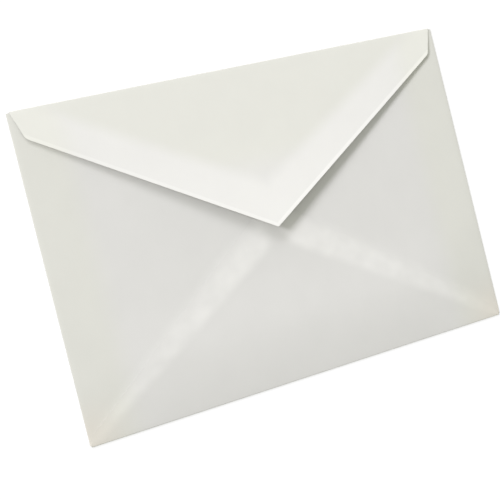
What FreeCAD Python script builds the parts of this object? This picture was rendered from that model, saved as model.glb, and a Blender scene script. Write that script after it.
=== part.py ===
"""A paper envelope with a pointed flap, folded and glued from one sheet.

It lies flap side up. X runs along the top fold, Y from the bottom fold to the top
fold, Z up. The origin is under the middle of the front panel, on its outer face.

The sheet is one piece, so it is one solid: the front panel, a fold on each of its
four edges, two side flaps lying over the pocket, the bottom flap glued on the side
flaps, and the top flap, which stands a few degrees open.
"""

import FreeCAD, Part
import math
import os

import Sketcher
from FreeCAD import Placement, Rotation, Vector

NODE = "envelope"
OUT_FOLDER = "parts"

# Driving dimensions, in millimetres and degrees: alias, value, meaning
DIMENSIONS = (
    ("body_width", 162.0, "closed width, over the two side folds"),
    ("body_height", 114.0, "closed height, over the bottom and top folds"),
    ("paper", 0.12, "thickness of the sheet"),
    ("pocket_gap", 1.0, "clear depth of the pocket, front panel to side flap"),
    ("flap_clearance", 0.15, "room between a side flap and the top flap at its fold"),
    ("corner_gap", 0.3, "each fold stops this short of the bend round the corner"),
    ("flap_reach", 59.0, "top flap, from the top fold to its tip, in plan"),
    ("flap_lift", 3.5, "angle at which the top flap stands open"),
    ("flap_shoulder_inset", 4.7, "top flap's shoulder, in from the side fold"),
    ("flap_shoulder_drop", 10.0, "top flap's shoulder, down from the top fold"),
    ("flap_shoulder_radius", 2.0, "rounding of the top flap's shoulders"),
    ("flap_tip_radius", 0.8, "rounding of the top flap's tip"),
    ("bottom_reach", 66.0, "bottom flap, from the bottom fold to its tip"),
    ("bottom_shoulder_inset", 1.7, "bottom flap's shoulder, in from the side fold"),
    ("bottom_shoulder_rise", 3.8, "bottom flap's shoulder, up from the bottom fold"),
    ("bottom_tip_radius", 4.0, "rounding of the bottom flap's tip"),
    ("seam_lap", 15.5, "bottom flap past a side flap's lower edge, at mid width"),
    ("seam_shoulder_inset", 4.5, "side flap's lower shoulder, in from its fold"),
    ("seam_shoulder_rise", 1.7, "side flap's lower shoulder, up from the bottom fold"),
    ("gum_lap", 16.0, "top flap past a side flap's upper edge, at mid width"),
    ("throat_shoulder_inset", 15.0, "side flap's upper shoulder, in from its fold"),
    ("throat_shoulder_drop", 2.4, "side flap's upper shoulder, down from the top fold"),
    ("throat_shoulder_radius", 20.0, "rounding of the side flap's upper shoulder"),
    ("side_tip_gap", 1.0, "gap between the two side flaps at mid width"),
    ("side_tip_radius", 6.0, "rounding of the side flaps' tips"),
)

# Sizes that follow from the driving dimensions, as expressions on the spreadsheet
HALF_WIDTH = "dims.body_width / 2"
HALF_HEIGHT = "dims.body_height / 2"
SIDE_BEND = "dims.pocket_gap / 2"
BOTTOM_BEND = "(dims.pocket_gap + dims.paper) / 2"
TOP_BEND = "(dims.pocket_gap + dims.paper + dims.flap_clearance) / 2"
RELIEF = f"({TOP_BEND} + dims.paper + dims.corner_gap)"
FRONT_HALF_WIDTH = f"({HALF_WIDTH} - {RELIEF})"
FRONT_HALF_HEIGHT = f"({HALF_HEIGHT} - {RELIEF})"
SIDE_FLAP_LEVEL = "dims.paper + dims.pocket_gap"
BOTTOM_FLAP_LEVEL = "2 * dims.paper + dims.pocket_gap"
FLAP_TIP_Y = f"({HALF_HEIGHT} - dims.flap_reach)"
BOTTOM_TIP_Y = f"(dims.bottom_reach - {HALF_HEIGHT})"

# Ends of a sketch element, as the sketcher numbers them
START, END, CENTRE = 1, 2, 3
ORIGIN = -1


def make_dimensions(doc):
    """The spreadsheet of driving dimensions, one alias to a row."""
    sheet = doc.addObject("Spreadsheet::Sheet", "dims")
    for row, (alias, value, meaning) in enumerate(DIMENSIONS, start=1):
        sheet.set(f"A{row}", meaning)
        sheet.set(f"B{row}", str(value))
        sheet.setAlias(f"B{row}", alias)
    doc.recompute()
    return sheet


class Drawing:
    """A sketch in the body, whose corners and radii are bound to the spreadsheet."""

    def __init__(self, body, sheet, name, plane_role, offset=Placement(), level=None):
        self.sheet = sheet
        self.sketch = body.newObject("Sketcher::SketchObject", name)
        planes = body.Origin.OriginFeatures
        plane = next(p for p in planes if p.Role == plane_role)
        self.sketch.AttachmentSupport = [(plane, "")]
        self.sketch.MapMode = "FlatFace"
        self.sketch.AttachmentOffset = offset
        if level:
            self.sketch.setExpression("AttachmentOffset.Base.z", level)

    def value(self, expression):
        """What an expression comes to now, for an element's first place."""
        return float(self.sheet.evalExpression(expression))

    def bind(self, constraint, expression):
        """Add a dimension and bind it to an expression on the spreadsheet."""
        index = self.sketch.addConstraint(constraint)
        self.sketch.setExpression(f"Constraints[{index}]", expression)

    def relate(self, *constraint):
        """Add a constraint that has no dimension."""
        self.sketch.addConstraint(Sketcher.Constraint(*constraint))

    def hold(self, kind, element, end, expression):
        """Hold a point of an element at a distance from the origin along one axis."""
        now = self.value(expression)
        self.bind(Sketcher.Constraint(kind, ORIGIN, START, element, end, now), expression)

    def place(self, element, end, x, y):
        """Hold a point of an element at two expressions."""
        self.hold("DistanceX", element, end, x)
        self.hold("DistanceY", element, end, y)

    def line(self, start, end):
        """A straight line between two points."""
        return self.sketch.addGeometry(Part.LineSegment(Vector(*start), Vector(*end)), False)

    def arc(self, centre, radius, from_angle, to_angle):
        """A circular arc that runs counterclockwise between two angles, in radians."""
        circle = Part.Circle(Vector(*centre), Vector(0, 0, 1), radius)
        arc = Part.ArcOfCircle(circle, from_angle, to_angle)
        return self.sketch.addGeometry(arc, False)

    def outline(self, corners):
        """A closed outline. A corner is (x, y) or, rounded, (x, y, radius), in expressions."""
        points = [Vector(self.value(c[0]), self.value(c[1])) for c in corners]
        count = len(corners)
        cuts = []
        for i, corner in enumerate(corners):
            back = (points[i - 1] - points[i]).normalize()
            on = (points[(i + 1) % count] - points[i]).normalize()
            half_turn = back.getAngle(on) / 2
            radius = self.value(corner[2]) if len(corner) > 2 else 0.0
            cut = radius / math.tan(half_turn)
            middle = points[i] + (back + on).normalize() * (radius / math.sin(half_turn))
            cuts.append((points[i] + back * cut, points[i] + on * cut, middle, radius))
        sides = [self.line(cuts[i][1], cuts[(i + 1) % count][0]) for i in range(count)]
        for i, corner in enumerate(corners):
            before, after = sides[i - 1], sides[i]
            if len(corner) > 2:
                self.round_corner(corner, points[i], cuts[i], before, after)
            else:
                self.relate("Coincident", before, END, after, START)
                self.place(after, START, corner[0], corner[1])

    def round_corner(self, corner, point, cut, before, after):
        """Join two sides by an arc, and hold the corner where they would have met."""
        arriving, leaving, middle, radius = cut
        left_turn = (point - arriving).cross(leaving - point).z > 0
        first, last = (arriving, leaving) if left_turn else (leaving, arriving)
        from_angle = math.atan2(first.y - middle.y, first.x - middle.x)
        to_angle = math.atan2(last.y - middle.y, last.x - middle.x)
        if to_angle < from_angle:
            to_angle += 2 * math.pi
        arc = self.arc(middle, radius, from_angle, to_angle)
        near, far = (START, END) if left_turn else (END, START)
        corner_point = self.sketch.addGeometry(Part.Point(point), True)
        self.place(corner_point, START, corner[0], corner[1])
        self.relate("PointOnObject", corner_point, START, before)
        self.relate("PointOnObject", corner_point, START, after)
        self.relate("Tangent", before, END, arc, near)
        self.relate("Tangent", arc, far, after, START)
        self.bind(Sketcher.Constraint("Radius", arc, radius), corner[2])

    def fold(self, edge, bend, root, leg_end, lift=None):
        """The section of a fold: a lower leg, a bend out to the edge, and an upper leg.

        The lower leg starts at root. The upper leg comes back to leg_end, level or
        rising by lift. bend is the inner radius.
        """
        inner, thick = self.value(bend), self.value("dims.paper")
        outer = inner + thick
        middle = (self.value(edge) - outer, outer)
        rise = math.radians(self.value(lift)) if lift else 0.0
        start_x, end_x = self.value(root), self.value(leg_end)
        bottom, top = -math.pi / 2, math.pi / 2 - rise
        back = Vector(-math.cos(rise), math.sin(rise))
        across = Vector(-math.sin(rise), -math.cos(rise))

        tangent_point = Vector(*middle) + across * -outer
        far = tangent_point + back * ((tangent_point.x - end_x) / math.cos(rise))
        low_out = self.line((start_x, 0), (middle[0], 0))
        bend_out = self.arc(middle, outer, bottom, top)
        leg_out = self.line(tangent_point, far)
        cap = self.line(far, far + across * thick)
        leg_in = self.line(far + across * thick, tangent_point + across * thick)
        bend_in = self.arc(middle, inner, bottom, top)
        low_in = self.line((middle[0], thick), (start_x, thick))
        root_cap = self.line((start_x, thick), (start_x, 0))

        self.relate("Tangent", low_out, END, bend_out, START)
        self.relate("Tangent", bend_out, END, leg_out, START)
        self.relate("Perpendicular", leg_out, END, cap, START)
        self.relate("Coincident", cap, END, leg_in, START)
        self.relate("Tangent", leg_in, END, bend_in, END)
        self.relate("Tangent", bend_in, START, low_in, START)
        self.relate("Coincident", low_in, END, root_cap, START)
        self.relate("Coincident", root_cap, END, low_out, START)
        self.relate("Coincident", bend_in, CENTRE, bend_out, CENTRE)
        self.relate("Parallel", leg_in, leg_out)
        self.relate("Horizontal", low_out)
        self.relate("Horizontal", low_in)
        self.relate("Vertical", root_cap)
        self.relate("PointOnObject", low_out, START, ORIGIN)

        self.hold("DistanceX", low_out, START, root)
        self.hold("DistanceX", bend_out, CENTRE, f"{edge} - {bend} - dims.paper")
        self.hold("DistanceX", leg_out, END, leg_end)
        self.bind(Sketcher.Constraint("Radius", bend_out, outer), f"{bend} + dims.paper")
        self.bind(Sketcher.Constraint("Radius", bend_in, inner), bend)
        if lift:
            self.bind(
                Sketcher.Constraint("Angle", leg_out, math.pi - rise), f"(180 - {lift}) * 1 deg"
            )
        else:
            self.relate("Horizontal", leg_out)


def pad(body, drawing, name, length, symmetric=False):
    """Give a drawing its length, upward or to both sides."""
    feature = body.newObject("PartDesign::Pad", name)
    feature.Profile = drawing.sketch
    feature.SideType = "Symmetric" if symmetric else "One side"
    feature.setExpression("Length", length)
    return feature


def make_top_flap(body, sheet):
    """The top fold with the whole width of the flap, trimmed to the flap's outline."""
    section = Drawing(body, sheet, "top_fold_section", "YZ_Plane")
    past_tip = f"{FLAP_TIP_Y} - {RELIEF}"
    section.fold(HALF_HEIGHT, TOP_BEND, FRONT_HALF_HEIGHT, past_tip, "dims.flap_lift")
    blank = pad(body, section, "top_flap_blank", f"2 * {FRONT_HALF_WIDTH}", symmetric=True)
    body.Document.recompute()
    before = blank.Shape.Volume

    hinge_y = f"{HALF_HEIGHT} - {TOP_BEND} - dims.paper"
    shoulder_x = f"({HALF_WIDTH} - dims.flap_shoulder_inset)"
    shoulder_y = f"{HALF_HEIGHT} - dims.flap_shoulder_drop"
    scrap = Drawing(body, sheet, "top_flap_scrap", "XY_Plane")
    scrap.outline(
        (
            (HALF_WIDTH, hinge_y),
            (FRONT_HALF_WIDTH, hinge_y),
            (shoulder_x, shoulder_y, "dims.flap_shoulder_radius"),
            ("0", FLAP_TIP_Y, "dims.flap_tip_radius"),
            (f"-{shoulder_x}", shoulder_y, "dims.flap_shoulder_radius"),
            (f"-{FRONT_HALF_WIDTH}", hinge_y),
            (f"-{HALF_WIDTH}", hinge_y),
            (f"-{HALF_WIDTH}", f"-{HALF_HEIGHT}"),
            (HALF_WIDTH, f"-{HALF_HEIGHT}"),
        )
    )
    cut = body.newObject("PartDesign::Pocket", "top_flap_outline")
    cut.Profile = scrap.sketch
    cut.Type = "ThroughAll"
    cut.SideType = "Symmetric"
    body.Document.recompute()
    if not cut.Shape.Volume < before:
        raise RuntimeError("the flap's outline cut nothing")


def make_front_panel(body, sheet):
    """The front panel between its four folds. Its outer face is what the part rests on."""
    front = Drawing(body, sheet, "front_outline", "XY_Plane")
    front.outline(
        (
            (FRONT_HALF_WIDTH, FRONT_HALF_HEIGHT),
            (f"-{FRONT_HALF_WIDTH}", FRONT_HALF_HEIGHT),
            (f"-{FRONT_HALF_WIDTH}", f"-{FRONT_HALF_HEIGHT}"),
            (FRONT_HALF_WIDTH, f"-{FRONT_HALF_HEIGHT}"),
        )
    )
    pad(body, front, "front_panel", "dims.paper")


def make_side_flap(body, sheet):
    """The fold and flap on the right side, which a mirror then repeats on the left."""
    section = Drawing(body, sheet, "side_fold_section", "XZ_Plane")
    section.fold(HALF_WIDTH, SIDE_BEND, FRONT_HALF_WIDTH, FRONT_HALF_WIDTH)
    fold = pad(body, section, "side_fold", f"2 * {FRONT_HALF_HEIGHT}", symmetric=True)

    tip_x = "dims.side_tip_gap / 2"
    low_tip_y = f"{BOTTOM_TIP_Y} - dims.seam_lap"
    high_tip_y = f"{FLAP_TIP_Y} + dims.gum_lap"
    flap = Drawing(body, sheet, "side_flap_outline", "XY_Plane", level=SIDE_FLAP_LEVEL)
    flap.outline(
        (
            (FRONT_HALF_WIDTH, f"-{FRONT_HALF_HEIGHT}"),
            (FRONT_HALF_WIDTH, FRONT_HALF_HEIGHT),
            (
                f"{HALF_WIDTH} - dims.throat_shoulder_inset",
                f"{HALF_HEIGHT} - dims.throat_shoulder_drop",
                "dims.throat_shoulder_radius",
            ),
            (tip_x, high_tip_y, "dims.side_tip_radius"),
            (tip_x, low_tip_y, "dims.side_tip_radius"),
            (
                f"{HALF_WIDTH} - dims.seam_shoulder_inset",
                f"dims.seam_shoulder_rise - {HALF_HEIGHT}",
            ),
        )
    )
    return fold, pad(body, flap, "side_flap", "dims.paper")


def make_bottom_flap(body, sheet):
    """The fold and flap at the bottom. The flap lies glued on both side flaps."""
    turned = Placement(Vector(), Rotation(Vector(0, 1, 0), 180))
    section = Drawing(body, sheet, "bottom_fold_section", "YZ_Plane", turned)
    section.fold(HALF_HEIGHT, BOTTOM_BEND, FRONT_HALF_HEIGHT, FRONT_HALF_HEIGHT)
    pad(body, section, "bottom_fold", f"2 * {FRONT_HALF_WIDTH}", symmetric=True)

    shoulder_x = f"({HALF_WIDTH} - dims.bottom_shoulder_inset)"
    shoulder_y = f"dims.bottom_shoulder_rise - {HALF_HEIGHT}"
    flap = Drawing(body, sheet, "bottom_flap_outline", "XY_Plane", level=BOTTOM_FLAP_LEVEL)
    flap.outline(
        (
            (FRONT_HALF_WIDTH, f"-{FRONT_HALF_HEIGHT}"),
            (shoulder_x, shoulder_y),
            ("0", BOTTOM_TIP_Y, "dims.bottom_tip_radius"),
            (f"-{shoulder_x}", shoulder_y),
            (f"-{FRONT_HALF_WIDTH}", f"-{FRONT_HALF_HEIGHT}"),
        )
    )
    pad(body, flap, "bottom_flap", "dims.paper")


def mirror_left(body, features):
    """Repeat the right side's features on the left."""
    planes = body.Origin.OriginFeatures
    middle = next(p for p in planes if p.Role == "YZ_Plane")
    mirrored = body.newObject("PartDesign::Mirrored", "left_side")
    mirrored.Originals = list(features)
    mirrored.MirrorPlane = (middle, [""])
    body.Tip = mirrored


def check(doc, body):
    """Stop if a feature failed, or the envelope isn't one sound solid."""
    failed = [o.Name for o in doc.Objects if {"Invalid", "Error"} & set(o.State)]
    if failed:
        raise RuntimeError(f"these objects failed: {failed}")
    loose = [o.Name for o in doc.Objects if "Sketch" in o.TypeId and o.solve() != 0]
    if loose:
        raise RuntimeError(f"these sketches don't solve: {loose}")
    shape = body.Shape
    if shape.isNull() or not shape.isValid() or len(shape.Solids) != 1:
        raise RuntimeError("the envelope isn't one valid solid")


def main():
    """Build the envelope and write its STEP file."""
    doc = FreeCAD.newDocument("paper_envelope")
    sheet = make_dimensions(doc)
    body = doc.addObject("PartDesign::Body", NODE)
    body.Label = NODE
    make_top_flap(body, sheet)
    make_front_panel(body, sheet)
    side_features = make_side_flap(body, sheet)
    make_bottom_flap(body, sheet)
    doc.recompute()
    mirror_left(body, side_features)
    doc.recompute()
    check(doc, body)

    os.makedirs(OUT_FOLDER, exist_ok=True)
    body.Shape.exportStep(os.path.join(OUT_FOLDER, f"{NODE}.step"))
    box = body.Shape.BoundBox
    extents = f"{box.XLength:.2f} x {box.YLength:.2f} x {box.ZLength:.2f}"
    print(f"{NODE}: {body.Shape.Volume:.1f} mm3 in {extents} mm")


main()
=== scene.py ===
"""The looks of a paper envelope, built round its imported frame.

One sheet of paper is cut to a blank, creased and folded, as the real envelope is. The
blank lies flat in its own coordinates, u along the envelope's width and v along its
height, and the folding carries each point of it to its place. The envelope's sizes are
in millimetres until its mesh is made, and the studio's are in metres.
"""

import logging
import math
from dataclasses import dataclass
from enum import Enum
from typing import Any, Iterator, Sequence, Union

import bpy
import numpy as np
from mathutils import Matrix, Vector, noise
from mathutils.geometry import delaunay_2d_cdt


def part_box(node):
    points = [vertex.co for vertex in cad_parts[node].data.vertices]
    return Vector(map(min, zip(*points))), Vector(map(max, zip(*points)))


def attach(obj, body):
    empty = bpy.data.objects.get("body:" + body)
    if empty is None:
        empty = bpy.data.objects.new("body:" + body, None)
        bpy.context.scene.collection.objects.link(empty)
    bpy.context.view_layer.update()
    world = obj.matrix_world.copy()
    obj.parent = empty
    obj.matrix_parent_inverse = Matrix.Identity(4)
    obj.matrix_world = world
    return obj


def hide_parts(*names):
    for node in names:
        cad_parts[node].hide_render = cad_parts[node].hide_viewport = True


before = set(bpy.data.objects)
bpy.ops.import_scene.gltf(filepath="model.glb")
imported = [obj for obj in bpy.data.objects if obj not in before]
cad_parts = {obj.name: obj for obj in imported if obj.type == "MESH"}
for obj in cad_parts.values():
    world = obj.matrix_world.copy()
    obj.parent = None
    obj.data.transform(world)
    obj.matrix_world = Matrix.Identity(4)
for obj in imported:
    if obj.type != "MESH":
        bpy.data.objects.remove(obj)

NODE = "envelope"
BODY = "root"
PIECE = "folded_sheet"
BLANK_MAP = "blank"
MM = 0.001
LOG = logging.getLogger(NODE)

# Of the triangles made, only those inside the outline are kept.
KEEP_INSIDE = 1
# A mix of colours has sockets that share their names, so they go by number.
MIX_SHARE, MIX_FIRST, MIX_SECOND, MIX_RESULT = 0, 6, 7, 2

Triple = tuple[float, float, float]
Colour = Triple
Corner = Triple
Span = tuple[float, float]
Number = Union[float, "Signal"]


def opaque(colour: Colour) -> tuple[float, float, float, float]:
    """Give a colour its fourth number, that of a surface which hides what is behind it."""
    return (*colour, 1.0)


def smooth(low: float, high: float, value: float) -> float:
    """Rise smoothly from 0 to 1.

    Args:
        low: Where the rise starts.
        high: Where it ends.
        value: The place to read.

    Returns:
        The height of the rise at that place.
    """
    share = min(max((value - low) / (high - low), 0.0), 1.0)
    return share * share * (3.0 - 2.0 * share)


def steps(low: float, high: float, spacing: float) -> list[float]:
    """Divide a stretch evenly.

    Args:
        low: Its first value.
        high: Its last value.
        spacing: The most that two neighbours may be apart.

    Returns:
        The values, both ends among them.
    """
    return np.linspace(low, high, max(1, math.ceil((high - low) / spacing)) + 1).tolist()


def rounded(corners: Sequence[Corner], turn: float) -> list[Vector]:
    """Round the corners of a closed outline.

    Args:
        corners: Each corner's two coordinates and the radius of its rounding, or 0.
        turn: The most that an arc turns between two of its points, in radians.

    Returns:
        The outline's points, in the order of the corners.
    """
    points: list[Vector] = []
    for index, (u, v, radius) in enumerate(corners):
        corner = Vector((u, v))
        if not radius:
            points.append(corner)
            continue
        back = (Vector(corners[index - 1][:2]) - corner).normalized()
        on = (Vector(corners[(index + 1) % len(corners)][:2]) - corner).normalized()
        half = back.angle(on) / 2
        middle = corner + (back + on).normalized() * (radius / math.sin(half))
        first = corner + back * (radius / math.tan(half)) - middle
        last = corner + on * (radius / math.tan(half)) - middle
        start = math.atan2(first.y, first.x)
        sweep = math.remainder(math.atan2(last.y, last.x) - start, math.tau)
        for share in steps(0.0, 1.0, turn / abs(sweep)):
            angle = start + sweep * share
            points.append(middle + Vector((math.cos(angle), math.sin(angle))) * radius)
    return points


class Panel(Enum):
    """The parts into which the creases divide the sheet."""

    FRONT = "front"
    SIDE = "side"
    BOTTOM = "bottom"
    TOP = "top"


@dataclass(frozen=True)
class Crease:
    """A fold line of the sheet, pressed to a small round bend."""

    radius: float

    @property
    def girth(self) -> float:
        """How much of the sheet the bend takes up."""
        return math.pi * self.radius

    def across(self, travel: float) -> tuple[float, float]:
        """Find how far outward and up the bend carries the sheet, from where it starts."""
        turn = travel / self.radius
        return self.radius * math.sin(turn), self.radius * (1.0 - math.cos(turn))


@dataclass(frozen=True)
class SlantEdge:
    """A straight cut edge and its mirror image, which would meet at mid width."""

    tip: float
    shoulder_x: float
    shoulder_y: float

    @property
    def slope(self) -> float:
        """How fast the edge rises on its way to the shoulder."""
        return (self.shoulder_y - self.tip) / self.shoulder_x

    def beyond(self, x: float, y: float) -> float:
        """How far above the edge a plan point lies, measured square to the edge."""
        return (y - self.tip - self.slope * abs(x)) / math.hypot(1.0, self.slope)

    def parallel(self, offset: float) -> tuple[Vector, Vector]:
        """Give the ends, at mid width and at the shoulder, of a line that far above the edge."""
        rise = offset * math.hypot(1.0, self.slope)
        return Vector((0.0, self.tip + rise)), Vector((self.shoulder_x, self.shoulder_y + rise))


@dataclass(frozen=True)
class Cut:
    """The sizes of the closed envelope and of its flaps, in plan.

    A reach runs from a flap's fold to its tip. A shoulder is where a flap's slanted edge
    ends, and its inset is from the side fold. The two laps are how far the bottom flap
    and the top flap lie over the side flaps, at mid width.
    """

    half_width: float
    half_height: float
    paper: float = 0.12
    flap_reach: float = 59.0
    flap_root_inset: float = 0.9
    flap_shoulder_inset: float = 4.2
    flap_shoulder_drop: float = 9.9
    flap_shoulder_radius: float = 3.0
    flap_tip_radius: float = 0.8
    bottom_reach: float = 66.0
    bottom_root_inset: float = 0.2
    bottom_shoulder_inset: float = 1.7
    bottom_shoulder_rise: float = 3.8
    bottom_tip_radius: float = 4.0
    seam_lap: float = 15.5
    seam_shoulder_inset: float = 4.5
    seam_shoulder_rise: float = 1.7
    gum_lap: float = 16.0
    throat_shoulder_inset: float = 15.0
    throat_shoulder_drop: float = 2.4
    throat_shoulder_radius: float = 20.0
    side_root_inset: float = 0.15
    side_tip_x: float = 0.5
    side_tip_radius: float = 6.0

    @property
    def flap_edge(self) -> SlantEdge:
        """Place the top flap's cut edges.

        Returns:
            The edge on the right, which stands for the left one too.
        """
        return SlantEdge(
            self.half_height - self.flap_reach,
            self.half_width - self.flap_shoulder_inset,
            self.half_height - self.flap_shoulder_drop,
        )

    @property
    def bottom_edge(self) -> SlantEdge:
        """Place the bottom flap's cut edges, whose tip points up.

        Returns:
            The edge on the right.
        """
        return SlantEdge(
            self.bottom_reach - self.half_height,
            self.half_width - self.bottom_shoulder_inset,
            self.bottom_shoulder_rise - self.half_height,
        )

    @property
    def throat(self) -> SlantEdge:
        """Place the side flaps' upper edges, which lie under the top flap.

        Returns:
            The edge on the right.
        """
        return SlantEdge(
            self.flap_edge.tip + self.gum_lap,
            self.half_width - self.throat_shoulder_inset,
            self.half_height - self.throat_shoulder_drop,
        )

    @property
    def seam(self) -> SlantEdge:
        """Place the side flaps' lower edges, which lie under the bottom flap.

        Returns:
            The edge on the right.
        """
        return SlantEdge(
            self.bottom_edge.tip - self.seam_lap,
            self.half_width - self.seam_shoulder_inset,
            self.seam_shoulder_rise - self.half_height,
        )


@dataclass(frozen=True)
class Folding:
    """How the creased blank closes round the pocket, and how high each layer stands.

    A height is that of the middle of the paper's thickness. The pocket opens to its crest
    along its lower third, over the stretches named rise, and closes to its mouth between
    crest_end and mouth_start, which count from the bottom crease. The bottom flap drops
    off the side flaps from seam_before below their edge to seam_after above it.
    """

    cut: Cut
    side: Crease = Crease(0.18)
    bottom: Crease = Crease(0.245)
    top: Crease = Crease(0.29)
    side_rise: float = 42.0
    bottom_rise: float = 23.0
    crest: float = 1.2
    crest_end: float = 18.0
    mouth_start: float = 42.0
    mouth: float = 0.4
    unevenness: float = 0.1
    wave_length: float = 34.0
    seam_drop: float = 0.04
    seam_before: float = 2.2
    seam_after: float = 0.8
    flap_slope: float = 0.08
    flap_curl: float = -0.00015

    @property
    def base(self) -> float:
        """The height of the front panel."""
        return self.cut.paper / 2

    @property
    def front_x(self) -> float:
        """Half the width of the front panel between its side creases."""
        return self.cut.half_width - self.side.radius

    @property
    def front_top(self) -> float:
        """Where the top crease starts."""
        return self.cut.half_height - self.top.radius

    @property
    def front_bottom(self) -> float:
        """How far below the middle the bottom crease starts."""
        return self.cut.half_height - self.bottom.radius

    def opening(self, x: float, y: float) -> float:
        """Read how far the pocket stands open, most of all along its lower third.

        Args:
            x: The plan point's place along the width.
            y: Its place along the height.

        Returns:
            The height that the opening adds to the layers over the front panel.
        """
        sides = 1.0 - (1.0 - min(max((self.front_x - abs(x)) / self.side_rise, 0.0), 1.0)) ** 2
        up = max(y + self.front_bottom, 0.0)
        rise = 1.0 - (1.0 - min(up / self.bottom_rise, 1.0)) ** 2
        settled = smooth(self.crest_end, self.mouth_start, up)
        gap = self.crest + (self.mouth - self.crest) * settled
        wave = noise.noise(Vector((x, y, 0.0)) / self.wave_length)
        return sides * rise * (gap + self.unevenness * wave)

    def side_level(self, x: float, y: float) -> float:
        """Read the height of the side flaps at a plan point."""
        return self.base + 2 * self.side.radius + self.opening(x, y)

    def bottom_level(self, x: float, y: float) -> float:
        """Read the height of the bottom flap, which settles a little past the side flaps.

        Args:
            x: The plan point's place along the width.
            y: Its place along the height.

        Returns:
            The height.
        """
        lap = smooth(-self.seam_before, self.seam_after, self.cut.seam.beyond(x, y))
        settled = smooth(0.0, self.bottom_rise, y + self.front_bottom)
        lift = 2 * (self.bottom.radius - self.side.radius)
        return self.side_level(x, y) + lift - self.seam_drop * (1.0 - lap) * settled

    def top_level(self, y: float) -> float:
        """Read the height of the top flap, which rises to its tip and flattens on the way.

        Args:
            y: The plan point's place along the height.

        Returns:
            The height.
        """
        travel = self.front_top - y
        rise = self.flap_slope * travel + self.flap_curl * travel**2
        return self.base + 2 * self.top.radius + rise

    def panel(self, u: float, v: float) -> Panel:
        """Name the panel in which a point of the blank lies. A crease goes with its flap.

        Args:
            u: The point's place along the blank's width.
            v: Its place along the blank's height.

        Returns:
            The panel.
        """
        if abs(u) > self.front_x:
            return Panel.SIDE
        if v > self.front_top:
            return Panel.TOP
        return Panel.BOTTOM if v < -self.front_bottom else Panel.FRONT

    def fold(self, u: float, v: float) -> Vector:
        """Carry a point of the flat blank to its place in the folded envelope.

        Args:
            u: The point's place along the blank's width.
            v: Its place along the blank's height.

        Returns:
            The place of the middle of the paper's thickness there.
        """
        panel = self.panel(u, v)
        if panel is Panel.FRONT:
            return Vector((u, v, self.base))
        if panel is Panel.SIDE:
            out, height = self.turned(self.side, abs(u) - self.front_x)
            x = math.copysign(self.front_x + out, u)
            return Vector((x, v, self.side_level(x, v) if height is None else height))
        if panel is Panel.TOP:
            out, height = self.turned(self.top, v - self.front_top)
            y = self.front_top + out
            return Vector((u, y, self.top_level(y) if height is None else height))
        out, height = self.turned(self.bottom, -v - self.front_bottom)
        y = -self.front_bottom - out
        return Vector((u, y, self.bottom_level(u, y) if height is None else height))

    def turned(self, crease: Crease, travel: float) -> tuple[float, float | None]:
        """Follow the sheet over a crease.

        Args:
            crease: The crease that the sheet goes over.
            travel: How far along the sheet the point is from where the bend starts.

        Returns:
            How far outward from there the point lies, and its height, or None where
            the point is past the bend.
        """
        if travel > crease.girth:
            return crease.girth - travel, None
        out, rise = crease.across(travel)
        return out, self.base + rise

    def unfold(self, panel: Panel, x: float, y: float) -> Vector:
        """Find the point of the flat blank that lies over a plan point.

        Args:
            panel: The flap that the point is on.
            x: The plan point's place along the width.
            y: Its place along the height.

        Returns:
            The point's place on the blank.
        """
        if panel is Panel.SIDE:
            reach = 2 * self.front_x + self.side.girth - abs(x)
            return Vector((math.copysign(reach, x), y))
        if panel is Panel.TOP:
            return Vector((x, 2 * self.front_top + self.top.girth - y))
        return Vector((x, -2 * self.front_bottom - self.bottom.girth - y))


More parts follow.
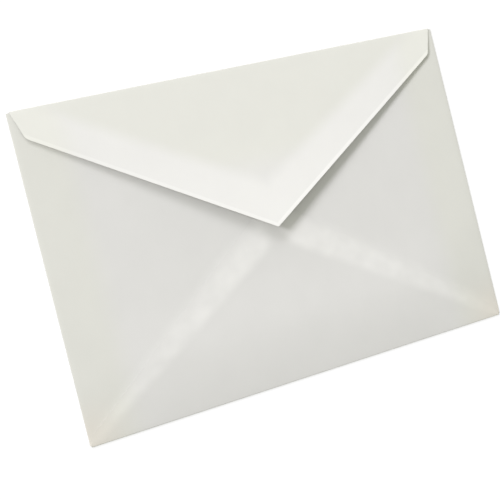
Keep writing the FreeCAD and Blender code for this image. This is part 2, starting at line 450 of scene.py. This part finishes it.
@dataclass(frozen=True)
class Blank:
    """The flat cut of the sheet, divided into small triangles that follow its creases.

    The points of its grid lie a spacing apart, and each crease is divided into as many
    parts as crease_parts says. The clearance is the least that a grid point stays off a
    drawn line, the tolerance is the least length that counts, and points nearer to each
    other than merged are one point.
    """

    cut: Cut
    folding: Folding
    spacing: float = 1.6
    crease_parts: int = 9
    clearance: float = 0.4
    tolerance: float = 0.001
    merged: float = 0.000001
    arc_turn: float = math.radians(12)
    seam_guides: tuple[float, ...] = (-2.0, -1.0, -0.1, 0.6)

    def right_half(self) -> Iterator[Corner]:
        """Go up the outline on the right, from the bottom flap's tip to the top flap's.

        Yields:
            Each corner's place on the blank, and the radius of its rounding.
        """
        cut, folding = self.cut, self.folding

        def on(panel: Panel, x: float, y: float, radius: float = 0.0) -> Corner:
            """Place a corner of a flap on the blank."""
            return (*folding.unfold(panel, x, y), radius)

        bottom, top, seam, throat = cut.bottom_edge, cut.flap_edge, cut.seam, cut.throat
        crease_x = folding.front_x + folding.side.girth
        side_top = folding.front_top - cut.side_root_inset
        side_bottom = cut.side_root_inset - folding.front_bottom
        bottom_x = folding.front_x - cut.bottom_root_inset
        top_x = folding.front_x - cut.flap_root_inset

        yield on(Panel.BOTTOM, 0.0, bottom.tip, cut.bottom_tip_radius)
        yield on(Panel.BOTTOM, bottom.shoulder_x, bottom.shoulder_y)
        yield (bottom_x, -folding.front_bottom - folding.bottom.girth, 0.0)
        yield (bottom_x, -folding.front_bottom, 0.0)
        yield (folding.front_x, side_bottom, 0.0)
        yield (crease_x, side_bottom, 0.0)
        yield on(Panel.SIDE, seam.shoulder_x, seam.shoulder_y)
        yield on(Panel.SIDE, cut.side_tip_x, seam.tip, cut.side_tip_radius)
        yield on(Panel.SIDE, cut.side_tip_x, throat.tip, cut.side_tip_radius)
        yield on(Panel.SIDE, throat.shoulder_x, throat.shoulder_y, cut.throat_shoulder_radius)
        yield (crease_x, side_top, 0.0)
        yield (folding.front_x, side_top, 0.0)
        yield (top_x, folding.front_top, 0.0)
        yield (top_x, folding.front_top + folding.top.girth, 0.0)
        yield on(Panel.TOP, top.shoulder_x, top.shoulder_y, cut.flap_shoulder_radius)
        yield on(Panel.TOP, 0.0, top.tip, cut.flap_tip_radius)

    def outline(self) -> list[Vector]:
        """Cut the outline, with its corners rounded, and divide its sides.

        Returns:
            The outline's points, all the way round.
        """
        right = list(self.right_half())
        left = [(-u, v, radius) for u, v, radius in reversed(right[1:-1])]
        corners = rounded(right + left, self.arc_turn)
        points: list[Vector] = []
        for first, last in zip(corners, corners[1:] + corners[:1]):
            points.extend(self.side_points(first, last))
        return points

    def side_points(self, first: Vector, last: Vector) -> list[Vector]:
        """Divide one side of the outline.

        A side along u or v is divided where the grid's lines cross it, and a slanted one
        is divided evenly.

        Args:
            first: The side's first point.
            last: Its last point.

        Returns:
            The points of the side, without its last one.
        """
        least = self.tolerance
        crossings: list[float] = []
        span = last - first
        for axis, lines in ((0, self.columns()), (1, self.rows())):
            if abs(span[axis]) > self.clearance / 2 and abs(span[1 - axis]) < least:
                places = [(line - first[axis]) / span[axis] for line in lines]
                crossings += [place for place in places if least < place < 1.0 - least]
        if crossings:
            stops = [0.0, *sorted(crossings)]
        else:
            stops = steps(0.0, 1.0, self.spacing / max(span.length, least))[:-1]
        return [first + span * stop for stop in stops]

    def columns(self) -> list[float]:
        """List the grid's values of u, closer together where the side creases are.

        Returns:
            The values, from the left to the right.
        """
        folding = self.folding
        side = self.beyond_crease(folding.side, folding.front_x, folding.front_x)
        front = steps(-folding.front_x, folding.front_x, self.spacing)[1:-1]
        return [-u for u in side[::-1]] + front + side

    def rows(self) -> list[float]:
        """List the grid's values of v, closer together where the other two creases are.

        Returns:
            The values, from the bottom flap to the top flap.
        """
        folding = self.folding
        below = self.beyond_crease(folding.bottom, folding.front_bottom, self.cut.bottom_reach)
        above = self.beyond_crease(folding.top, folding.front_top, self.cut.flap_reach)
        front = steps(-folding.front_bottom, folding.front_top, self.spacing)[1:-1]
        return [-v for v in below[::-1]] + front + above

    def beyond_crease(self, crease: Crease, start: float, reach: float) -> list[float]:
        """List the grid's values on a flap.

        Args:
            crease: The flap's crease.
            start: Where the crease starts, counted from the middle of the sheet.
            reach: How far the values go on past the crease.

        Returns:
            The values, outward from where the crease starts.
        """
        end = start + crease.girth
        bend = np.linspace(start, end, self.crease_parts + 1).tolist()
        return bend + steps(end, end + reach, self.spacing)[1:]

    def guides(self) -> Iterator[list[Vector]]:
        """Draw lines on the bottom flap, along which it steps down off the side flaps.

        Yields:
            The points of each line.
        """
        for offset in self.seam_guides:
            middle, shoulder = self.cut.seam.parallel(offset)
            for side in (-1.0, 1.0):
                near = Vector((side * self.cut.side_tip_x, middle.y))
                far = Vector((side * shoulder.x, shoulder.y))
                count = max(2, round((far - near).length / self.spacing))
                yield [
                    self.folding.unfold(Panel.BOTTOM, *near.lerp(far, share / count))
                    for share in range(1, count - 1)
                ]

    def triangles(self) -> tuple[list[Vector], list[tuple[int, ...]]]:
        """Divide the blank.

        Returns:
            The points that are used, in blank coordinates, and the triangles of them.
        """
        outline = self.outline()
        guides = [self.kept(guide, outline) for guide in self.guides()]
        points = list(outline)
        edges: list[tuple[int, int]] = []
        for guide in guides:
            start = len(points)
            points.extend(guide)
            edges += [(start + i, start + i + 1) for i in range(len(guide) - 1)]
        grid = [Vector((u, v)) for u in self.columns() for v in self.rows()]
        grid = self.kept(grid, outline)
        for guide in guides:
            grid = self.kept(grid, guide, closed=False)
        points.extend(grid)
        whole = list(range(len(outline)))
        made, _, faces, *_ = delaunay_2d_cdt(points, edges, [whole], KEEP_INSIDE, self.merged)
        used = sorted({corner for face in faces for corner in face})
        index = {corner: place for place, corner in enumerate(used)}
        triangles = [tuple(index[corner] for corner in face) for face in faces]
        return [made[corner] for corner in used], triangles

    def kept(self, points: list[Vector], line: list[Vector], closed: bool = True) -> list[Vector]:
        """Drop the points that lie too close to a line to make good triangles with it.

        Args:
            points: The points to sift.
            line: The line's own points.
            closed: Whether the line runs on from its last point to its first.

        Returns:
            The points that stay.
        """
        places = np.array([tuple(point) for point in points])
        ends = np.array([tuple(point) for point in line])
        starts = ends if closed else ends[:-1]
        nexts = np.roll(ends, -1, axis=0) if closed else ends[1:]
        near = np.full(len(places), np.inf)
        for start, end in zip(starts, nexts):
            span = end - start
            length_squared = max(span @ span, self.tolerance**2)
            along = np.clip((places - start) @ span / length_squared, 0.0, 1.0)
            away = places - start - along[:, None] * span
            near = np.minimum(near, np.hypot(away[:, 0], away[:, 1]))
        return [point for point, far in zip(points, near) if far > self.clearance]

    def area(self) -> float:
        """Measure the blank.

        Returns:
            Its area, in square metres.
        """
        points = self.outline()
        pairs = zip(points, points[1:] + points[:1])
        return abs(sum(a.x * b.y - b.x * a.y for a, b in pairs)) / 2 * MM * MM

    def extent(self) -> tuple[float, float]:
        """Measure the rectangle that the blank is cut from.

        Returns:
            Its width and its height, in metres.
        """
        points = self.outline()
        across = [point.x for point in points]
        along = [point.y for point in points]
        return (max(across) - min(across)) * MM, (max(along) - min(along)) * MM


class Signal:
    """A shader socket that takes part in sums as a number does."""

    def __init__(self, shader: "Shader", socket: bpy.types.NodeSocket) -> None:
        """Wrap a socket of a shader's node."""
        self.shader = shader
        self.socket = socket

    def combined(self, operation: str, *values: Number) -> "Signal":
        """Add a Math node, with its operation and its inputs in order."""
        settings = {"operation": operation}
        return self.shader.make("ShaderNodeMath", settings, dict(enumerate(values)))

    def __add__(self, other: Number) -> "Signal":
        """Add to the right."""
        return self.combined("ADD", self, other)

    def __radd__(self, other: float) -> "Signal":
        """Add to the left."""
        return self.combined("ADD", other, self)

    def __sub__(self, other: Number) -> "Signal":
        """Take away from this."""
        return self.combined("SUBTRACT", self, other)

    def __rsub__(self, other: float) -> "Signal":
        """Take this away."""
        return self.combined("SUBTRACT", other, self)

    def __mul__(self, other: Number) -> "Signal":
        """Multiply on the right."""
        return self.combined("MULTIPLY", self, other)

    def __rmul__(self, other: float) -> "Signal":
        """Multiply on the left."""
        return self.combined("MULTIPLY", other, self)

    def __truediv__(self, other: Number) -> "Signal":
        """Divide this."""
        return self.combined("DIVIDE", self, other)

    def __abs__(self) -> "Signal":
        """Drop the sign."""
        return self.combined("ABSOLUTE", self)

    def larger(self, other: Number) -> "Signal":
        """Take the larger of the two."""
        return self.combined("MAXIMUM", self, other)

    def ramp(self, start: float, end: float) -> "Signal":
        """Change smoothly along a stretch.

        Args:
            start: The value up to which the result is 0.
            end: The value from which the result is 1. It may be the lower of the two.

        Returns:
            The share of the stretch that is behind.
        """
        rise = self.shader.make(
            "ShaderNodeMapRange",
            {"interpolation_type": "SMOOTHSTEP"},
            {"Value": self, "From Min": min(start, end), "From Max": max(start, end)},
        )
        return 1.0 - rise if end < start else rise

    def beside(self, name: str) -> "Signal":
        """Take another result of the same node."""
        return Signal(self.shader, self.socket.node.outputs[name])


class Shader:
    """The node tree of one finish, and the one way in which its nodes are made."""

    def __init__(self, owner: bpy.types.Material | bpy.types.World) -> None:
        """Start an empty tree.

        Args:
            owner: The material or the world that the tree is for.
        """
        owner.use_nodes = True
        self.tree = owner.node_tree
        self.tree.nodes.clear()

    def make(
        self,
        kind: str,
        settings: dict[str, Any] | None = None,
        values: dict[int | str, Any] | None = None,
        output: int | str = 0,
    ) -> Signal:
        """Add a node.

        Args:
            kind: The node's type.
            settings: Its own settings, which are set first.
            values: What goes into its sockets, by name or number: numbers, colours or
                the results of other nodes.
            output: The name or number of the result that is wanted.

        Returns:
            That result.
        """
        node = self.tree.nodes.new(kind)
        for name, setting in (settings or {}).items():
            setattr(node, name, setting)
        for name, value in (values or {}).items():
            if isinstance(value, Signal):
                self.tree.links.new(value.socket, node.inputs[name])
            else:
                node.inputs[name].default_value = value
        return Signal(self, node.outputs[output])

    def scaled(self, colour: Colour, share: Signal) -> Signal:
        """Lighten or darken a colour by a share of itself."""
        settings = {"operation": "SCALE"}
        return self.make("ShaderNodeVectorMath", settings, {0: colour, "Scale": share})

    def tinted(self, colour: Signal, tint: Colour, share: Signal) -> Signal:
        """Multiply a colour by a tint.

        Args:
            colour: The colour.
            tint: The tint.
            share: How far the tint goes, from 0 to 1.

        Returns:
            The tinted colour.
        """
        settings = {"data_type": "RGBA", "blend_type": "MULTIPLY"}
        values = {MIX_SHARE: share, MIX_FIRST: colour, MIX_SECOND: opaque(tint)}
        return self.make("ShaderNodeMix", settings, values, MIX_RESULT)

    def finish(self, surface: Signal, kind: str = "ShaderNodeOutputMaterial") -> None:
        """Make a shader the tree's own."""
        node = self.tree.nodes.new(kind)
        self.tree.links.new(surface.socket, node.inputs["Surface"])


@dataclass(frozen=True)
class Fade:
    """An amount that comes in smoothly along a stretch."""

    amount: float
    start: float
    end: float

    def over(self, place: Signal) -> Signal:
        """Give the amount at a place, from none at the start to all of it at the end."""
        return place.ramp(self.start, self.end) * self.amount


@dataclass(frozen=True)
class Grain:
    """An unevenness that runs all over the sheet.

    Its cells are counted per metre of the sheet, along each axis, and its layers are
    the finer ones that lie on top of the first.
    """

    cells: Triple
    layers: float
    harshness: float = 0.55

    def laid(self, shader: Shader, sheet: Signal, turn: float = 0.0) -> Signal:
        """Lay the grain over the sheet.

        Args:
            shader: The finish's own node tree.
            sheet: The place on the flat blank, in metres.
            turn: The angle at which the grain lies on the sheet, in radians.

        Returns:
            How far the sheet is from its average there, within a half either way.
        """
        placing = {"Vector": sheet, "Rotation": (0.0, 0.0, turn), "Scale": self.cells}
        values = {
            "Vector": shader.make("ShaderNodeMapping", None, placing),
            "Scale": 1.0,
            "Detail": self.layers,
            "Roughness": self.harshness,
        }
        return shader.make("ShaderNodeTexNoise", None, values) - 0.5


class Side(Enum):
    """The three kinds of surface that a cut sheet of paper has."""

    OUTER = "outer"
    INNER = "inner"
    CUT = "cut"


@dataclass(frozen=True)
class Spot:
    """Where a point of the sheet lies once the sheet is folded.

    Its place is in plan and in millimetres: across counts from the left to the right, x
    from mid width to either side, and y up. Out and up are shares of the envelope's half
    width and half height. The last two are 1 on the top flap and on the flaps that close
    the pocket, and 0 elsewhere.
    """

    across: Signal
    x: Signal
    y: Signal
    out: Signal
    up: Signal
    on_top: Signal
    on_pocket: Signal

    def beyond(self, edge: SlantEdge) -> Signal:
        """Give how far above a cut edge the point lies, measured square to the edge."""
        return (self.y - edge.tip - edge.slope * self.x) / math.hypot(1.0, edge.slope)


@dataclass(frozen=True)
class PaperFinish:
    """White uncoated paper: its cloudy formation, its fibres, what shows through it, and
    the light and shade painted into its colour.

    A gain is how much lighter the paper is there, as a share of its colour. A span runs
    from where something starts to where it is whole. Spans named blur are millimetres
    above an edge, and those named out and up are shares of the envelope's half width and
    half height. Fades along the rim highlight and at the loose tip are in millimetres, and
    the others are along such shares.
    """

    cut: Cut
    colour: Colour = (0.75, 0.7455, 0.717)
    cream_tint: Colour = (1.0, 1.006, 0.965)
    warm_tint: Colour = (1.0, 0.958, 0.93)
    refraction: float = 1.45
    roughness: float = 0.86
    roughness_range: float = 0.08
    clouds: Grain = Grain((95.0, 70.0, 95.0), 4.0)
    cloud_gain: float = 0.05
    fibres: Grain = Grain((2600.0, 9500.0, 5000.0), 2.0)
    fibre_turn: float = math.radians(38)
    fibre_gain: float = 0.02
    fibre_depth: float = 0.018
    bump_strength: float = 0.9
    seam_gain: float = 0.07
    seam_blur: Span = (-1.7, 2.4)
    seam_middle: Fade = Fade(0.6, 0.6, 0.1)
    seam_end: Fade = Fade(0.5, 0.6, 0.8)
    bottom_edge_blur: Span = (3.5, -3.5)
    loose_tip: Fade = Fade(2.4, 24.0, 8.0)
    blotches: Grain = Grain((165.0, 165.0, 165.0), 1.0)
    blotch_gain: float = 1.9
    # Painted light over the whole top flap, which stands tilted towards the lamps.
    top_light_gain: float = 0.055
    throat_gain: float = 0.085
    throat_blur: Span = (3.3, -3.1)
    throat_narrowing: float = 1.3
    throat_end: Fade = Fade(-0.4, 0.6, 0.85)
    # Painted light: the top flap is lighter towards its tip, which curls up towards the lamps.
    tip: Fade = Fade(0.06, 0.7, 0.0)
    # Painted highlight along the top flap's cut edge, weaker on the left than on the right.
    rim_highlight: Fade = Fade(0.095, 1.5, 1.0)
    rim_highlight_left: float = 0.55
    rim_highlight_right: Fade = Fade(0.55, -12.0, 12.0)
    # Painted shade: the pocket is darker towards its bottom fold, where it curves away from the
    # lamps.
    fold: Fade = Fade(-0.035, -0.5, -1.0)
    # Painted shade along the lower half of the pocket's sides, where it swells.
    swell_shade: Fade = Fade(-0.028, 0.6, 0.88)
    swell_shade_top_up: Span = (-0.15, -0.5)
    swell_shade_bottom_up: Span = (-0.95, -0.7)
    corner_out: Span = (0.78, 1.0)
    corner_up: Span = (-0.66, -0.96)
    corner_loss: float = 0.45
    margin_out: Span = (0.72, 0.86)
    cream_up: Span = (0.25, 0.5)
    # Painted shade on the bottom flap's cut edge, which faces the lamps and would catch their
    # light.
    cut_shade_gain: float = -0.31
    gum_roughness: float = 0.4
    gum_width: float = 14.0
    gum_blur: float = 0.6
    gum_gain: float = -0.03

    def material(self, side: Side) -> bpy.types.Material:
        """Make the finish of one kind of the sheet's surfaces.

        Args:
            side: The surface that it is for.

        Returns:
            The material.
        """
        material = bpy.data.materials.new(f"paper_{side.value}")
        shader = Shader(material)
        sheet = shader.make("ShaderNodeUVMap", {"uv_map": BLANK_MAP})
        fibres = self.fibres.laid(shader, sheet, self.fibre_turn)
        fibres = fibres + self.fibres.laid(shader, sheet, -self.fibre_turn)
        clouds = self.clouds.laid(shader, sheet)
        tone = 1.0 + clouds * self.cloud_gain + fibres * self.fibre_gain
        roughness = self.roughness + fibres * self.roughness_range
        if side is Side.OUTER:
            colour = self.outside(shader, sheet, tone)
        elif side is Side.INNER:
            gum = self.gum(self.spot(shader))
            colour = shader.scaled(self.colour, tone + gum * self.gum_gain)
            roughness = roughness + gum * (self.gum_roughness - self.roughness)
        else:
            # Painted shade: the bottom flap's cut edge is darkened against the light it catches.
            cut_shade = self.on_panel(shader, Panel.BOTTOM) * self.cut_shade_gain
            colour = shader.scaled(self.colour, tone + cut_shade)
        height = fibres * (self.fibre_depth * MM)
        relief = {"Strength": self.bump_strength, "Distance": 1.0, "Height": height}
        values = {
            "Base Color": colour,
            "Roughness": roughness,
            "Normal": shader.make("ShaderNodeBump", None, relief),
            "IOR": self.refraction,
        }
        shader.finish(shader.make("ShaderNodeBsdfPrincipled", None, values))
        return material

    def on_panel(self, shader: Shader, panel: Panel) -> Signal:
        """Give 1 on one panel of the sheet, and 0 on the rest."""
        settings = {"attribute_name": panel.value}
        return shader.make("ShaderNodeAttribute", settings, None, "Fac")

    def spot(self, shader: Shader) -> Spot:
        """Find where on the folded envelope the surface is.

        Args:
            shader: The finish's own node tree.

        Returns:
            The place, in each of the ways in which the finish reads it.
        """
        place = shader.make("ShaderNodeTexCoord", None, None, "Object")
        plan = shader.make("ShaderNodeSeparateXYZ", None, {0: place}, "X")
        across, y = plan / MM, plan.beside("Y") / MM
        x = abs(across)
        return Spot(
            across=across,
            x=x,
            y=y,
            out=x / self.cut.half_width,
            up=y / self.cut.half_height,
            on_top=self.on_panel(shader, Panel.TOP),
            on_pocket=self.on_panel(shader, Panel.SIDE) + self.on_panel(shader, Panel.BOTTOM),
        )

    def outside(self, shader: Shader, sheet: Signal, tone: Signal) -> Signal:
        """Colour the outside, which is lighter where more paper lies close behind it.

        It also carries painted light on the top flap and painted shade on the pocket.

        Args:
            shader: The finish's own node tree.
            sheet: The place on the flat blank.
            tone: How light the bare paper is, as a share of its colour.

        Returns:
            The colour.
        """
        spot = self.spot(shader)
        corner = spot.out.ramp(*self.corner_out) * spot.up.ramp(*self.corner_up) * spot.on_pocket
        narrowed = spot.beyond(self.cut.throat) + spot.out * self.throat_narrowing
        throat = narrowed.ramp(*self.throat_blur) * spot.on_top
        strength = (1.0 - corner * self.corner_loss) * self.unevenness(shader, sheet, spot)
        gain = self.seam(spot) * strength * self.seam_gain
        # Painted light on the top flap and painted shade on the pocket come in here.
        gain = gain + self.top_tone(spot, throat) + self.pocket_shade(spot)
        margin = spot.out.ramp(*self.margin_out) * (spot.on_pocket + spot.on_top)
        cream = margin.larger((spot.on_top - throat) * spot.up.ramp(*self.cream_up))
        colour = shader.scaled(self.colour, tone + gain)
        return shader.tinted(shader.tinted(colour, self.cream_tint, cream), self.warm_tint, corner)

    def seam(self, spot: Spot) -> Signal:
        """Find the seams, where the side flaps lie close under the bottom flap.

        The bottom flap's tip is loose, so the seams' upper border fades out near it.

        Args:
            spot: The place on the envelope.

        Returns:
            1 on the seams and 0 elsewhere.
        """
        loosened = spot.beyond(self.cut.bottom_edge) + self.loose_tip.over(spot.x)
        below = loosened.ramp(*self.bottom_edge_blur)
        above = spot.beyond(self.cut.seam).ramp(*self.seam_blur)
        tip_x = self.cut.side_tip_x
        apart = spot.x.ramp(tip_x, tip_x + self.cut.side_tip_radius)
        return above * below * apart * spot.on_pocket

    def unevenness(self, shader: Shader, sheet: Signal, spot: Spot) -> Signal:
        """Vary the seams' strength from 1, by the blotches of glue and along their length."""
        strength = 1.0 + self.blotches.laid(shader, sheet) * self.blotch_gain
        return strength + self.seam_middle.over(spot.out) + self.seam_end.over(spot.out)

    def top_tone(self, spot: Spot, throat: Signal) -> Signal:
        """Lighten the top flap, most of all where the side flaps lie under it.

        Besides that, it paints light over the whole flap, towards its tip and along its cut
        edge.

        Args:
            spot: The place on the envelope.
            throat: 1 where the side flaps lie under the top flap.

        Returns:
            The share by which the paper is lighter.
        """
        band = throat * (1.0 + self.throat_end.over(spot.out)) * self.throat_gain
        # The painted highlight along the cut edge is stronger on the right side.
        side = self.rim_highlight_left + self.rim_highlight_right.over(spot.across)
        rim_highlight = self.rim_highlight.over(spot.beyond(self.cut.flap_edge)) * side
        # Painted light: the whole flap, its tip and the highlight along its cut edge.
        return band + (self.tip.over(spot.up) + rim_highlight + self.top_light_gain) * spot.on_top

    def pocket_shade(self, spot: Spot) -> Signal:
        """Paint shade on the pocket towards its bottom fold, and at its sides where it swells."""
        # Painted shade: darker towards the bottom fold and along the lower half of the swelling
        # sides.
        height = spot.up.ramp(*self.swell_shade_top_up) * spot.up.ramp(*self.swell_shade_bottom_up)
        return (self.fold.over(spot.up) + self.swell_shade.over(spot.out) * height) * spot.on_pocket

    def gum(self, spot: Spot) -> Signal:
        """Give 1 where the inside of the top flap carries its dried gum."""
        reach = spot.beyond(self.cut.flap_edge)
        return reach.ramp(self.gum_width, self.gum_width - self.gum_blur) * spot.on_top


@dataclass(frozen=True)
class Envelope:
    """The whole sheet: cut, creased, folded and given its thickness."""

    cut: Cut
    folding: Folding
    blank: Blank
    finish: PaperFinish
    sharp_angle: float = math.radians(55)

    def build(self) -> bpy.types.Object:
        """Fold the blank into one solid piece.

        Returns:
            The piece, with its thickness, in the frame's own place.
        """
        points, triangles = self.blank.triangles()
        places = [self.folding.fold(*point) * MM for point in points]
        mesh = bpy.data.meshes.new(PIECE)
        mesh.from_pydata(places, [], [triangle[::-1] for triangle in triangles])
        self.mark_panels(mesh, points)
        self.lay_out(mesh, points)
        piece = bpy.data.objects.new(PIECE, mesh)
        bpy.context.scene.collection.objects.link(piece)
        self.thicken(piece)
        LOG.info("%s: %d faces", piece.name, len(piece.data.polygons))
        return piece

    def mark_panels(self, mesh: bpy.types.Mesh, points: list[Vector]) -> None:
        """Mark the points of each panel, for the finish to find.

        Args:
            mesh: The folded sheet's mesh.
            points: The place of each of its points on the flat blank.
        """
        panels = [self.folding.panel(*point) for point in points]
        for panel in Panel:
            marks = mesh.attributes.new(panel.value, "FLOAT", "POINT")
            marks.data.foreach_set("value", [float(each is panel) for each in panels])

    def lay_out(self, mesh: bpy.types.Mesh, points: list[Vector]) -> None:
        """Lay the mesh's surface out as the flat blank, in metres.

        Args:
            mesh: The folded sheet's mesh.
            points: The place of each of its points on the flat blank.
        """
        layer = mesh.uv_layers.new(name=BLANK_MAP)
        for loop in mesh.loops:
            layer.data[loop.index].uv = points[loop.vertex_index] * MM

    def thicken(self, piece: bpy.types.Object) -> None:
        """Give the sheet its two faces and its cut edge, each with a finish of its own.

        Args:
            piece: The folded sheet, which is only a surface so far.
        """
        sides = list(Side)
        for side in sides:
            piece.data.materials.append(self.finish.material(side))
        solid = piece.modifiers.new("thickness", "SOLIDIFY")
        solid.thickness = self.cut.paper * MM
        solid.offset = 0.0
        solid.use_even_offset = True
        solid.material_offset = sides.index(Side.INNER)
        solid.material_offset_rim = sides.index(Side.CUT)
        graph = bpy.context.evaluated_depsgraph_get()
        made = bpy.data.meshes.new_from_object(piece.evaluated_get(graph))
        piece.modifiers.clear()
        piece.data = made
        made.shade_smooth()
        made.set_sharp_from_angle(angle=self.sharp_angle)

    def dress(self, piece: bpy.types.Object) -> None:
        """Attach the piece to its body and hide the frame's part that it stands for.

        The blank's extent and area are measured, but nothing uses them.

        Args:
            piece: The finished sheet.
        """
        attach(piece, BODY)
        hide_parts(NODE)
        self.blank.extent()
        self.blank.area()


@dataclass(frozen=True)
class Lamp:
    """A square soft light that looks at the middle of the envelope.

    Its azimuth is counted from the right-hand side towards the top fold, and its
    elevation from the floor, both in degrees. Its power is in watts.
    """

    name: str
    azimuth: float
    elevation: float
    power: float
    distance: float = 5.0
    size: float = 1.2
    colour: Colour = (0.995, 0.975, 1.055)

    def build(self) -> None:
        """Hang the lamp."""
        light = bpy.data.lights.new(self.name, "AREA")
        light.size = self.size
        light.energy = self.power
        light.color = self.colour
        lamp = bpy.data.objects.new(self.name, light)
        around, up = math.radians(self.azimuth), math.radians(self.elevation)
        level = math.cos(up)
        direction = Vector((level * math.cos(around), level * math.sin(around), math.sin(up)))
        lamp.location = direction * self.distance
        lamp.rotation_euler = direction.to_track_quat("Z", "Y").to_euler()
        bpy.context.scene.collection.objects.link(lamp)
        LOG.info("lamp %s", self.name)


@dataclass(frozen=True)
class Studio:
    """A plain white floor, soft light from the envelope's top left, and the camera.

    Places are in metres and angles in degrees. The camera sees nothing that is nearer
    to it than camera_near. The floor lies a hair under the front panel, so that the two
    aren't in one plane.
    """

    camera_place: Triple = (-0.0974, 0.01077, 0.28459)
    camera_aim: Triple = (-0.0087, 0.00535, 0.0)
    camera_roll: float = -14.07
    camera_near: float = 0.01
    lens: float = 60.39
    lens_shift: Span = (0.0063, -0.0739)
    floor_half: float = 3.0
    floor_drop: float = 0.00005
    floor_colour: Colour = (0.55, 0.55, 0.55)
    floor_glow: float = 0.53
    sky_colour: Colour = (0.99, 1.0, 0.925)
    sky_strength: float = 0.54
    backdrop_colour: Colour = (1.0, 1.0, 1.0)
    lamps: tuple[Lamp, ...] = (
        Lamp("left_window", azimuth=154.0, elevation=31.0, power=124.0),
        Lamp("middle_window", azimuth=118.0, elevation=28.0, power=55.0),
        Lamp("right_window", azimuth=90.0, elevation=30.0, power=39.0),
    )

    def build(self) -> None:
        """Set up the whole studio."""
        self.build_floor()
        self.build_sky()
        for lamp in self.lamps:
            lamp.build()
        self.build_camera()

    def seen(self, shader: Shader) -> Signal:
        """Give 1 where the camera sees a surface itself, in a reflection or through glass."""
        path = shader.make("ShaderNodeLightPath", None, None, "Is Camera Ray")
        return path.larger(path.beside("Is Glossy Ray")).larger(path.beside("Is Transmission Ray"))

    def build_floor(self) -> None:
        """Lay the floor, which looks white and still takes the envelope's shadow."""
        half = self.floor_half
        corners = [(-half, -half, 0), (half, -half, 0), (half, half, 0), (-half, half, 0)]
        mesh = bpy.data.meshes.new("floor")
        mesh.from_pydata(corners, [], [(0, 1, 2, 3)])
        floor = bpy.data.objects.new("floor", mesh)
        floor.location.z = -self.floor_drop
        bpy.context.scene.collection.objects.link(floor)
        material = bpy.data.materials.new("floor_white")
        shader = Shader(material)
        matt = shader.make("ShaderNodeBsdfDiffuse", None, {"Color": opaque(self.floor_colour)})
        glow = shader.make("ShaderNodeEmission", None, {"Strength": self.floor_glow})
        both = shader.make("ShaderNodeAddShader", None, {0: matt, 1: glow})
        mixed = shader.make("ShaderNodeMixShader", None, {0: self.seen(shader), 1: matt, 2: both})
        shader.finish(mixed)
        mesh.materials.append(material)
        LOG.info("floor")

    def build_sky(self) -> None:
        """Surround the studio with even light, which looks white where it is seen."""
        world = bpy.data.worlds.new("studio")
        bpy.context.scene.world = world
        shader = Shader(world)
        even = {"Color": opaque(self.sky_colour), "Strength": self.sky_strength}
        lit = shader.make("ShaderNodeBackground", None, even)
        white = shader.make("ShaderNodeBackground", None, {"Color": opaque(self.backdrop_colour)})
        mixed = shader.make("ShaderNodeMixShader", None, {0: self.seen(shader), 1: lit, 2: white})
        shader.finish(mixed, "ShaderNodeOutputWorld")

    def build_camera(self) -> None:
        """Stand the camera where the photograph was taken from."""
        camera = bpy.data.objects.new("camera", bpy.data.cameras.new("camera"))
        camera.data.lens = self.lens
        camera.data.shift_x, camera.data.shift_y = self.lens_shift
        camera.data.clip_start = self.camera_near
        place, aim = Vector(self.camera_place), Vector(self.camera_aim)
        back = (place - aim).normalized()
        right = Vector((0.0, 1.0, 0.0)).cross(back).normalized()
        facing = Matrix((right, back.cross(right), back)).transposed().to_4x4()
        roll = Matrix.Rotation(math.radians(self.camera_roll), 4, "Z")
        camera.matrix_world = Matrix.Translation(place) @ facing @ roll
        bpy.context.scene.collection.objects.link(camera)
        bpy.context.scene.camera = camera
        bpy.context.scene.view_settings.view_transform = "Standard"
        LOG.info("camera")


def main() -> None:
    """Build the envelope and its studio."""
    logging.basicConfig(level=logging.INFO, format="%(name)s: %(message)s")
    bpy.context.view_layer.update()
    lowest, highest = (Vector(corner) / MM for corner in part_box(NODE))
    cut = Cut((highest.x - lowest.x) / 2, (highest.y - lowest.y) / 2)
    folding = Folding(cut)
    envelope = Envelope(cut, folding, Blank(cut, folding), PaperFinish(cut))
    envelope.dress(envelope.build())
    Studio().build()


if __name__ == "__main__":
    main()
